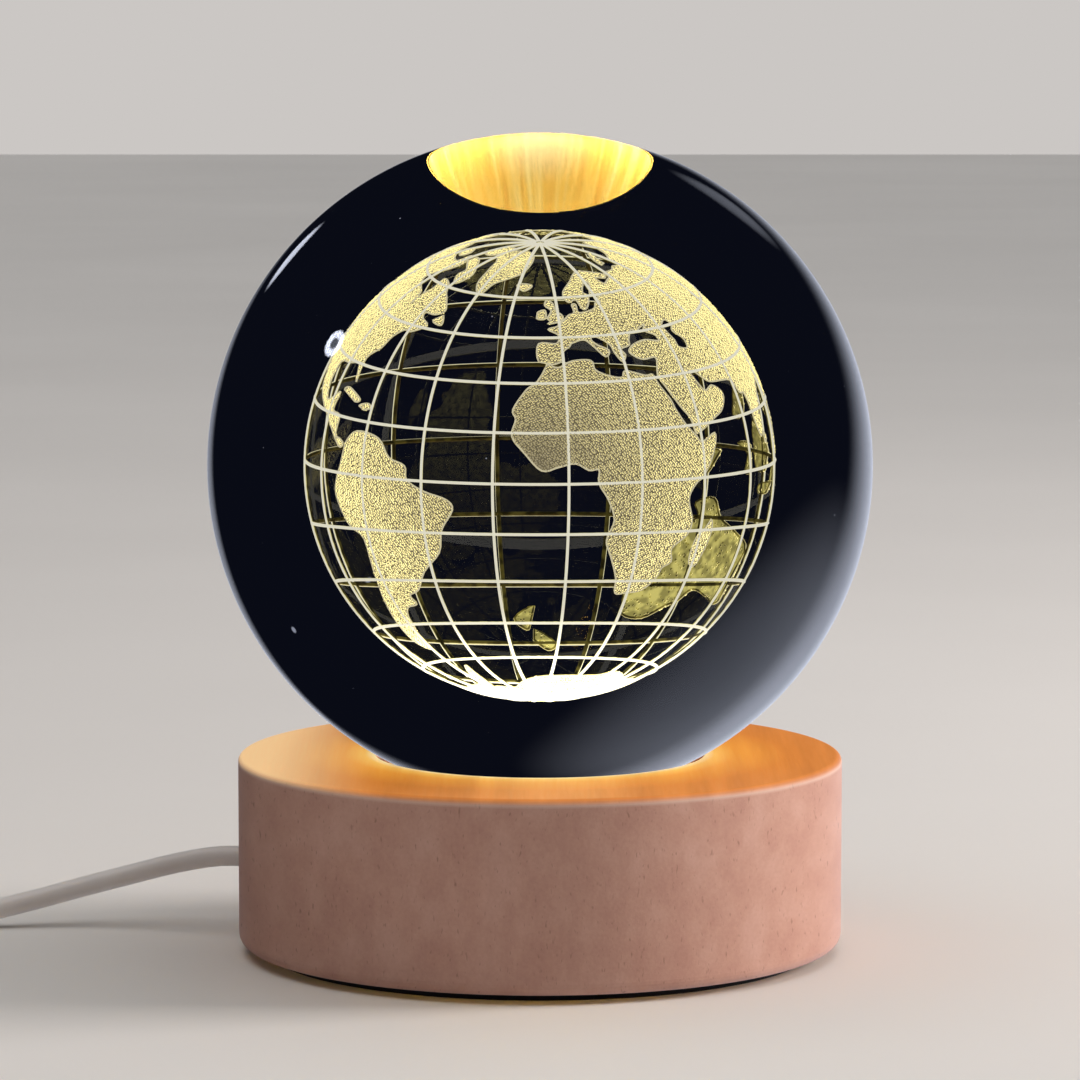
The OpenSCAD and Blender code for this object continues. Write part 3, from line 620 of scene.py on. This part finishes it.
def laser_cracks(name, near, side, far, power, broken=0.15):
    """Laser-made cracks in the crystal, whose light is painted in as glow. The painted glow shines outwards,
    looks deeper coloured edge on, and is broken and faint from within. It is painted brightest low down, as
    if from the lamp below."""
    made, tree, shader = material(name, Base_Color="#1C1A12", Roughness=0.8, Emission_Strength=1.0)
    place = add(tree, "TexCoord").outputs["Object"]
    out = add(tree, "VectorMath", {0: place, 1: (0, 0, BALL_Z)}, operation="SUBTRACT")
    out = add(tree, "VectorMath", {0: out}, operation="NORMALIZE")
    normal = add(tree, "NewGeometry").outputs["Normal"]
    facing = add(tree, "VectorMath", {0: out, 1: normal}, operation="DOT_PRODUCT")
    toward = add(tree, "MapRange", {"Value": facing, "From Min": -1, "From Max": 1})
    tint = add(tree, "ValToRGB", {"Fac": toward}, stops=[(0.3, far), (0.5, side), (0.72, near)])
    height = add(tree, "SeparateXYZ", {"Vector": out}).outputs["Z"]
    # painted light: the glow is strongest low down, near the lamp
    low = add(tree, "MapRange", {"Value": height, "From Min": -0.62, "From Max": -0.95, "To Min": power,
                                 "To Max": 3 * power}, interpolation_type="SMOOTHSTEP")
    # from within, the painted glow thins out with height and breaks up into specks
    speck = add(tree, "TexNoise", {"Vector": place, "Scale": 1500, "Detail": 1})
    speck = add(tree, "MapRange", {"Value": speck, "From Min": 0.42, "From Max": 0.62, "To Min": broken,
                                   "To Max": 1.3})
    thin = add(tree, "MapRange", {"Value": height, "From Min": -0.5, "From Max": 0.4, "To Min": 1.2,
                                  "To Max": 0.35})
    inner = add(tree, "Math", {0: speck, 1: thin}, operation="MULTIPLY")
    within = add(tree, "MapRange", {"Value": facing, "From Min": 0.1, "From Max": -0.25})
    keep = add(tree, "Mix", {"Factor": within, "A": 1.0, "B": inner})
    light = add(tree, "Math", {0: low, 1: keep}, operation="MULTIPLY")
    feed(tree, shader, {"Emission Color": tint, "Emission Strength": light})
    return made


def make_graticule():
    # colours and strength of the painted glow of the lines
    paint = laser_cracks("laser_line_in_crystal", "#E9E4CC", "#EFE39A", "#3D3714", 0.95)
    points, faces = [], []
    equator_points, fewest = 160, 48
    for lat in range(-LAST_PARALLEL, LAST_PARALLEL + 1, PARALLEL_STEP):
        count = max(fewest, round(equator_points * math.cos(math.radians(lat))))
        tube(points, faces, [on_globe(360 * i / count, lat) for i in range(count)], LINE_R, loop=True)
    for i in range(MERIDIANS):
        lon = 360 * i / MERIDIANS
        tube(points, faces, [on_globe(lon, -89 + 2 * k) for k in range(90)], LINE_R)
    lines = piece("engraved_graticule", points, faces, paint, "globe")
    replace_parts(lines, "engraved_parallels", "engraved_meridians")


def make_coasts():
    # colours and strength of the painted glow of the coasts
    paint = laser_cracks("laser_coast_in_crystal", "#D6CCA6", "#EEDF8E", "#6E6326", 0.9)
    points, faces = [], []
    for name in LAND:
        line = [on_globe(lon, lat) for lon, lat in smooth_shore(name)]
        tube(points, faces, line, COAST_R, sides=5, loop=name != SOUTHERN_LAND)
    coast = piece("engraved_coasts", points, faces, paint, "globe")


DOT_GAP = 0.24 * MM
DOT_WIDTH = 0.185 * MM
DOT_DEPTH = 0.13 * MM
FILL_STEP = 4


def make_land_ground():
    """A thin even layer of fine cracks under the stipple, filled in from coast to coast, with a painted glow.
    """
    paint = laser_cracks("fine_laser_cracks_in_crystal", "#675E48", "#C9B870", "#A99F58", 1.0, 0.6)
    points, faces = [], []
    for name, shore, (left, right, low, high) in SHORES:
        if name == INLAND_SEA:
            continue
        rims = [shore, smooth_shore(INLAND_SEA)] if name == "eurasia" else [shore]
        spots, edges = [], []
        for rim in rims:
            edges += [(len(spots) + i, len(spots) + (i + 1) % len(rim)) for i in range(len(rim))]
            spots += rim
        spots += [(lon, lat) for lat in range(round(low), round(high) + 1, FILL_STEP)
                  for lon in range(round(left), round(right) + 1, FILL_STEP)]
        flat, _, triangles, *_ = delaunay_2d_cdt([Vector(p) for p in spots], edges, [], 0, 1e-4)
        start = len(points)
        points += [on_globe(p.x, p.y, GLOBE_R - 0.06 * MM) for p in flat]
        for face in triangles:
            middle = sum((flat[i] for i in face), Vector((0, 0))) / len(face)
            if inside(*middle, shore) and not any(inside(*middle, rim) for rim in rims[1:]):
                faces.append([start + i for i in face])
    ground = piece("engraved_ground", points, faces, paint, "globe")
    drop_loose_points(ground)


def drop_loose_points(made):
    mesh = bmesh.new()
    mesh.from_mesh(made.data)
    bmesh.ops.delete(mesh, geom=[v for v in mesh.verts if not v.link_faces], context="VERTS")
    mesh.to_mesh(made.data)
    mesh.free()


def make_stipple():
    """The land is a stipple of laser points, laid evenly over the globe and kept where there is land. Each is
    a tiny block whose walls have a painted yellow glow, so the land turns from grey stipple to solid yellow
    edge on."""
    paint = laser_cracks("laser_stipple_in_crystal", "#9C9173", linear("#F6E596", 2.1), "#93873A", 1.0)
    scatter, sway = random.Random(11), 0.2  # degrees
    packing = 0.87  # a dot's share of the surface, in squares of the gap
    count = round(4 * math.pi * GLOBE_R ** 2 / (packing * DOT_GAP ** 2))
    golden = 180 * (3 - math.sqrt(5))  # the golden angle spreads the dots evenly
    points, faces = [], []
    for i in range(count):
        lat = math.degrees(math.asin(1 - (2 * i + 1) / count)) + scatter.uniform(-sway, sway)
        lon = (golden * i) % 360 - 180 + scatter.uniform(-sway, sway)
        if not on_land(lon, lat):
            continue
        out = (on_globe(lon, lat) - Vector((0, 0, BALL_Z))).normalized()
        centre = on_globe(lon, lat, GLOBE_R + scatter.uniform(-0.03, 0.05) * MM)
        turn = scatter.uniform(0, math.pi)
        half = 0.5 * DOT_WIDTH * scatter.uniform(0.8, 1.25)
        east = Vector((-out.y, out.x, 0)).normalized()
        along = half * (math.cos(turn) * east + math.sin(turn) * out.cross(east))
        across = out.cross(along)
        start = len(points)
        for rise in (-DOT_DEPTH / 2 * out, DOT_DEPTH / 2 * out):
            at = centre + rise
            points += [at + along, at + across, at - along, at - across]
        faces += [(start, start + 3, start + 2, start + 1), (start + 4, start + 5, start + 6, start + 7)]
        faces += [(start + k, start + (k + 1) % 4, start + 4 + (k + 1) % 4, start + 4 + k) for k in range(4)]
    land = piece("engraved_stipple", points, faces, paint, "globe", smooth=False)
    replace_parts(land, "engraved_land")


make_graticule()
make_coasts()
make_land_ground()
make_stipple()


# ---------- wooden base ----------

def oiled_beech():
    # Turned and sanded beech with thin oil: pinkish and silky, with fine straight grain and dark flecks.
    made, tree, shader = material("turned_oiled_beech", Roughness=0.5, IOR=1.47)
    place = add(tree, "TexCoord").outputs["Object"]
    # growth rings 2 to 4 mm apart that run front to back
    ring_space = add(tree, "Mapping", {"Vector": place, "Scale": (330, 14, 210)})
    rings = add(tree, "TexNoise", {"Vector": ring_space, "Scale": 1, "Detail": 3, "Roughness": 0.55})
    fine_space = add(tree, "Mapping", {"Vector": place, "Scale": (2600, 120, 2200)})
    fine = add(tree, "TexNoise", {"Vector": fine_space, "Scale": 1, "Detail": 2})
    # pore flecks about 0.25 mm wide, drawn a little coarser than real beech so that they show
    pore_space = add(tree, "Mapping", {"Vector": place, "Scale": (3400, 500, 1100)})
    pores = add(tree, "TexNoise", {"Vector": pore_space, "Scale": 1, "Detail": 1})
    base = add(tree, "ValToRGB", {"Fac": rings},
               stops=[(0.28, "#C89B8C"), (0.5, "#CFA393"), (0.74, "#D8AE9F")])
    fibre = add(tree, "ValToRGB", {"Fac": fine}, stops=[(0.3, "#B98873"), (0.7, "#EBC9B4")])
    grained = add(tree, "Mix", {"Factor": 0.2, "A": base, "B": fibre}, data_type="RGBA",
                  blend_type="SOFT_LIGHT")
    fleck = add(tree, "MapRange", {"Value": pores, "From Min": 0.66, "From Max": 0.80, "To Max": 0.5})
    wood = add(tree, "Mix", {"Factor": fleck, "A": grained, "B": "#8E5F4C"},
               data_type="RGBA")
    # painted light: the top, where the lamp's glow falls, is painted a deeper amber
    height = add(tree, "SeparateXYZ", {"Vector": place}).outputs["Z"]
    eased_from, eased_to, edge_highlight_from = BLOCK_TOP - 0.75 * MM, BLOCK_TOP - 0.1 * MM, BLOCK_TOP - 1.1 * MM
    upper = add(tree, "MapRange", {"Value": height, "From Min": eased_from, "From Max": eased_to,
                                   "To Max": 0.9})
    wood_with_painted_light = add(tree, "Mix", {"Factor": upper, "A": wood, "B": "#A4622A"}, data_type="RGBA")
    # painted highlight: the eased edge is painted paler, as a light line along it
    rim = add(tree, "MapRange", {"Value": height, "From Min": edge_highlight_from, "From Max": eased_from,
                                 "To Max": 0.55})
    rim = add(tree, "Math", {0: rim, 1: upper}, operation="SUBTRACT", use_clamp=True)
    wood_with_painted_light = add(tree, "Mix", {"Factor": rim, "A": wood_with_painted_light, "B": "#F6D5C2"}, data_type="RGBA")
    dull = add(tree, "MapRange", {"Value": fine, "To Min": 0.42, "To Max": 0.6})
    bump = add(tree, "Bump", {"Height": fine, "Strength": 0.25, "Distance": 0.06 * MM})
    feed(tree, shader, {"Base Color": wood_with_painted_light, "Roughness": dull, "Normal": bump})
    # painted light: the lamp's glow is painted as emission over the top, spreading from the mouth of the seat
    flat_place = add(tree, "VectorMath", {0: place, 1: (1, 1, 0)}, operation="MULTIPLY")
    far = add(tree, "VectorMath", {0: flat_place}, operation="LENGTH")
    spread = add(tree, "MapRange", {"Value": far, "From Min": MOUTH_R, "From Max": BLOCK_R, "To Min": 1.0,
                                    "To Max": 0.0})
    warm = add(tree, "ValToRGB", {"Fac": spread},
               stops=[(0.0, "#C87A34"), (0.4, "#CE7C2C"), (0.78, "#EFA03A"), (0.93, "#FFC860"),
                      (1.0, "#FFF0B8")])
    streaks = add(tree, "ValToRGB", {"Fac": rings}, stops=[(0.3, "#C4B8A8"), (0.7, "#FFFFFF")])
    lit = add(tree, "Mix", {"Factor": 0.6, "A": warm, "B": streaks}, data_type="RGBA", blend_type="MULTIPLY")
    # painted highlight: the painted glow pales to cream towards one side
    side = add(tree, "SeparateXYZ", {"Vector": place}).outputs["X"]
    pale = add(tree, "MapRange", {"Value": side, "From Min": -0.5 * BLOCK_R, "From Max": -0.95 * BLOCK_R,
                                  "To Max": 0.8}, interpolation_type="SMOOTHSTEP")
    lit = add(tree, "Mix", {"Factor": pale, "A": lit, "B": "#F7D7A2"}, data_type="RGBA")
    feed(tree, shader, {"Emission Color": lit, "Emission Strength": upper})
    return made


def give(node, paint):
    """A carried-over CAD piece takes a finish."""
    mesh = frame["nodes"][node].data
    mesh.materials.clear()
    mesh.materials.append(paint)


give("base_block", oiled_beech())


# ---------- seat and light ----------

def clear_silicone():
    # Cast clear silicone: soft and slightly cloudy. Its warm glow, where the lamp shines up through it, is
    # painted light, drawn as emission.
    made, tree, shader = material("cast_clear_silicone", Roughness=0.35, IOR=1.41, Transmission_Weight=0.5,
                                  Emission_Strength=0.9)
    place = add(tree, "TexCoord").outputs["Object"]
    cloud = add(tree, "TexNoise", {"Vector": place, "Scale": 260, "Detail": 3})
    tint = add(tree, "ValToRGB", {"Fac": cloud}, stops=[(0.3, "#E9D3A6"), (0.7, "#FBEFD2")])
    warm = add(tree, "ValToRGB", {"Fac": cloud}, stops=[(0.3, "#C9832C"), (0.7, "#F0B458")])
    feed(tree, shader, {"Base Color": tint, "Emission Color": warm})
    return made


def frosted_acrylic():
    # Sandblasted acrylic lit from below: hotter over each of the three chips, and so bright it looks white.
    made, tree, shader = material("sandblasted_acrylic", Base_Color="#FFF4DC", Roughness=0.7, IOR=1.49)
    place = add(tree, "TexCoord").outputs["Object"]
    chips = frame["nodes"]["led_chips"].data
    hot = None
    for corner in led_places(chips):
        far = add(tree, "VectorMath", {0: place, 1: (*corner, WINDOW_TOP)}, operation="DISTANCE")
        spot = add(tree, "MapRange", {"Value": far, "From Min": 0.5 * MM, "From Max": 5 * MM, "To Min": 5,
                                      "To Max": 0}, interpolation_type="SMOOTHSTEP")
        hot = add(tree, "Math", {0: hot, 1: spot}, operation="MAXIMUM") if hot else spot
    frost = add(tree, "TexNoise", {"Vector": place, "Scale": 3800, "Detail": 2})
    glow = add(tree, "Math", {0: hot, 1: 2.2})
    tint = add(tree, "ValToRGB", {"Fac": frost}, stops=[(0.3, "#FFD58A"), (0.7, "#FFE6B2")])
    bump = add(tree, "Bump", {"Height": frost, "Strength": 0.3, "Distance": 0.03 * MM})
    feed(tree, shader, {"Emission Color": tint, "Emission Strength": glow, "Normal": bump})
    return made


def led_places(chips):
    """The middle of each chip, seen from above. The chips stand evenly round the board."""
    around = {}
    for point in chips.vertices:
        turn = round(math.degrees(math.atan2(point.co.y, point.co.x)) / 60)
        around.setdefault(turn % 6, []).append(point.co.xy)
    best = sorted(around.values(), key=len, reverse=True)[:3]
    return [sum(group, Vector((0, 0))) / len(group) for group in best]


def lit_phosphor():
    # Phosphor in clear resin: a hot yellow-white square.
    made, tree, shader = material("lit_led_phosphor", Roughness=0.3, Emission_Strength=9.0)
    place = add(tree, "TexCoord").outputs["Object"]
    grain = add(tree, "TexNoise", {"Vector": place, "Scale": 5000, "Detail": 1})
    tint = add(tree, "ValToRGB", {"Fac": grain}, stops=[(0.3, "#FFC75A"), (0.7, "#FFE4A4")])
    feed(tree, shader, {"Base Color": tint, "Emission Color": tint})
    return made


# ---------- moulded, plated and foamed pieces ----------

def finish_small_pieces():
    # Printed board with white solder mask: bright, faintly mottled, and half glossy.
    mask = finish("solder_masked_board", "#E6E8E4", "#F4F5F1", 0.3, 0.01, rough=0.35)
    # Ceramic resistors: black glaze.
    glaze = finish("glazed_resistor", "#141414", "#2A2A2C", 0.2, 0.01, rough=0.25)
    # Zinc-plated steel: grey, with the faint drag marks of rolling and heading. The plating is a little dull.
    zinc = finish("zinc_plated_steel", "#A9ABAE", "#D2D4D6", 0.15, 0.01, rough=0.34, metallic=1.0)
    # Cold-drawn spring wire: brighter and smoother than the screws.
    drawn = finish("drawn_spring_steel", "#B7B8BA", "#DADBDC", 0.1, 0.005, rough=0.28, metallic=1.0)
    # Stamped brass: warm yellow metal.
    brass = finish("stamped_brass", "#B98E42", "#D8B264", 0.15, 0.005, rough=0.3, metallic=1.0)
    # Extruded PVC insulation: saturated and glossy.
    red = finish("extruded_red_pvc", "#A81F1B", "#C42A25", 0.2, 0.01, rough=0.35)
    black = finish("extruded_black_pvc", "#161617", "#232325", 0.2, 0.01, rough=0.35)
    # Nylon tie: milky and slightly waxy.
    nylon = finish("moulded_nylon", "#E2E0D8", "#F1EFE8", 0.4, 0.01, rough=0.45)
    # Moulded rubber: near white, matt.
    rubber = finish("moulded_white_rubber", "#D8D3CE", "#E6E2DD", 0.25, 0.02, rough=0.65)
    # Black ABS off a spark-eroded mould: an even fine matt grain, drawn twice as coarse as real to show.
    cover = finish("spark_grained_black_abs", "#1B1B1C", "#2C2C2E", 0.25, 0.04, rough=0.5)
    # EVA foam: dark, soft and full of small closed cells.
    foam = finish("cut_eva_foam", "#202021", "#343436", 0.5, 0.12, rough=0.85)
    # Nickel-plated steel: bright, smooth and slightly warm.
    nickel = finish("nickel_plated_steel", "#BEBBB5", "#DBD8D2", 0.2, 0.004, rough=0.24, metallic=1.0)
    # Glass-filled nylon: black, with a dry surface.
    tongue = finish("glass_filled_nylon", "#17181A", "#26272A", 0.2, 0.02, rough=0.5)
    # Gold flashed contacts.
    gold = finish("gold_flashed_contacts", "#C99B3F", "#E5BD66", 0.1, 0.003, rough=0.25, metallic=1.0)
    for paint, names in {
        mask: ["led_board"], glaze: ["chip_resistors"], drawn: ["switch_spring"],
        zinc: ["board_screws", "cover_screws", "switch_screws"], brass: ["switch_terminals"],
        red: ["red_wire"], black: ["black_wire"],
        nylon: ["cord_stop"], rubber: ["cord_bush"], cover: ["bottom_cover"], foam: ["anti_slip_pad"],
        bpy.data.materials["moulded_white_abs"]: ["switch_lower_case"],
        nickel: ["plug_shell"], tongue: ["plug_tongue"], gold: ["plug_contacts"],
    }.items():
        for name in names:
            give(name, paint)
    give("inner_cord", bpy.data.materials["extruded_soft_pvc"])
    give("seat_ring", clear_silicone())
    give("light_window", frosted_acrylic())
    give("led_chips", lit_phosphor())


finish_small_pieces()


# ---------- stage ----------

# soft lights that only show as gloss: direction, inner and outer angle in degrees, strength
ROOM_GLOWS = [
    ((0.60, 0.35, -0.72), 5, 42, 1.0),      # broad haze, low on the right
    ((0.30, 0.90, -0.30), 2, 33, 1.2),      # crescent at the right rim
    ((-0.24, 0.96, -0.14), 1, 13, 0.5),     # line along the left rim
    ((-0.86, 0.04, 0.51), 3.0, 3.8, 22),    # ring lamp, and the dark middle that makes it a ring
    ((-0.86, 0.04, 0.51), 1.0, 2.0, -20),
    ((-0.36, 0.91, 0.22), 2, 4, 2.5),       # streak at the upper left
    ((0.32, 0.88, 0.36), 1, 7, 0.45),       # arc at the upper right
]
METAL_PIECES = ["press_button", "plug_shell", "plug_contacts", "switch_screws", "switch_terminals",
                "switch_spring", "board_screws", "cover_screws"]


def make_floor():
    made, tree, shader = material("studio_floor", Roughness=0.75)
    place = add(tree, "TexCoord").outputs["Object"]
    cloud = add(tree, "TexNoise", {"Vector": place, "Scale": 5, "Detail": 3})
    tint = add(tree, "ValToRGB", {"Fac": cloud}, stops=[(0.3, "#E0DCD8"), (0.7, "#E6E2DE")])
    feed(tree, shader, {"Base Color": tint})
    mesh = bpy.data.meshes.new("floor")
    half = 2.5  # metres
    corners = [(-half, -half, 0), (half, -half, 0), (half, half, 0), (-half, half, 0)]
    mesh.from_pydata(corners, [], [(0, 1, 2, 3)])
    mesh.materials.append(made)
    floor = placed("floor", mesh)


def make_world():
    """A pale backdrop for the camera, a dim even fill, and a dark room with soft glows for the crystal."""
    world = bpy.data.worlds.new("studio")
    world.use_nodes = True
    bpy.context.scene.world = world
    tree = world.node_tree
    room = tree.nodes["Background"]
    room.inputs["Color"].default_value = linear("#E2E1E3")
    room.inputs["Strength"].default_value = 0.08
    backdrop = add(tree, "Background", {"Color": "#CBC7C4", "Strength": 1.0})
    dark = add(tree, "Background", {"Color": "#0A0C15", "Strength": 1.0})
    ray = add(tree, "LightPath")
    toward = add(tree, "VectorMath", {0: add(tree, "TexCoord").outputs["Generated"]}, operation="NORMALIZE")
    shine = None
    for aim, inner, outer, power in ROOM_GLOWS:
        aim = Vector(aim).normalized()
        angle = add(tree, "VectorMath", {0: toward, 1: aim}, operation="DOT_PRODUCT")
        edge, core = math.cos(math.radians(outer)), math.cos(math.radians(inner))
        soft = add(tree, "MapRange", {"Value": angle, "From Min": edge, "From Max": core, "To Max": power},
                   interpolation_type="SMOOTHSTEP")
        shine = add(tree, "Math", {0: shine, 1: soft}) if shine else soft
    glow = add(tree, "Background", {"Color": "#DDE3F5", "Strength": shine})
    glints = add(tree, "AddShader", {0: dark, 1: glow})
    seen = room
    for kind, view in (("Is Camera Ray", backdrop), ("Is Glossy Ray", glints), ("Is Transmission Ray", dark)):
        seen = add(tree, "MixShader", {"Fac": ray.outputs[kind], 1: seen, 2: view})
    feed(tree, tree.nodes["World Output"], {"Surface": seen})


def softbox(name, place, aim, size, watts, colour):
    """A soft rectangular light, which the crystal doesn't show."""
    light = bpy.data.lights.new(name, "AREA")
    light.shape = "RECTANGLE"
    light.size, light.size_y = size
    light.energy = watts
    light.color = linear(colour)[:3]
    made = placed(name, light)
    made.location = place
    made.rotation_euler = (Vector(aim) - Vector(place)).to_track_quat("-Z", "Y").to_euler()
    made.visible_glossy = False
    made.visible_transmission = False


def sun(name, energy, angle, turn=0):
    """A wide soft sun that shines down, or up when it is turned over."""
    light = bpy.data.lights.new(name, "SUN")
    light.energy = energy
    light.angle = math.radians(angle)
    made = placed(name, light)
    made.rotation_euler.x = math.radians(turn)
    made.visible_transmission = False
    return made


def make_lights():
    softbox("key_right", (0.75, 0.08, 0.3), (0, 0, 0.02), (0.3, 0.4), 6.6, "#FFF8F4")
    sun("overhead", 1.5, 70).visible_glossy = False


def light_metal():
    """Metal mirrors what is round it. The crystal's dark room leaves it nothing, so two soft suns stand in,
    for metal alone: the pale sky above, and the floor's bounce from below, which the floor doesn't block."""
    metal = bpy.data.collections.new("metal_pieces")
    for name in METAL_PIECES:
        metal.objects.link(frame["nodes"].get(name) or bpy.data.objects[name])
    for name, energy, turn in (("metal_sky", 2.2, 0), ("metal_floor", 1.5, 180)):
        linking = sun(name, energy, 170, turn).light_linking
        linking.receiver_collection = metal
        linking.blocker_collection = metal


def darken_crystal():
    """The crystal shows only what is in it, its engraving and its lit flat. Its rays see nothing else."""
    shown = ("polished_ball", "ground_flat", "engraved_graticule", "engraved_coasts", "engraved_ground",
             "engraved_stipple")
    for thing in bpy.data.objects:
        if thing.type in {"MESH", "CURVE"} and thing.name not in shown:
            thing.visible_glossy = False
            thing.visible_transmission = False


make_floor()
make_world()
make_lights()
light_metal()
darken_crystal()

scene = bpy.context.scene
scene.view_settings.view_transform = "Standard"
scene.cycles.use_denoising = True
scene.cycles.max_bounces = 16
scene.cycles.transmission_bounces = 12
scene.cycles.glossy_bounces = 8
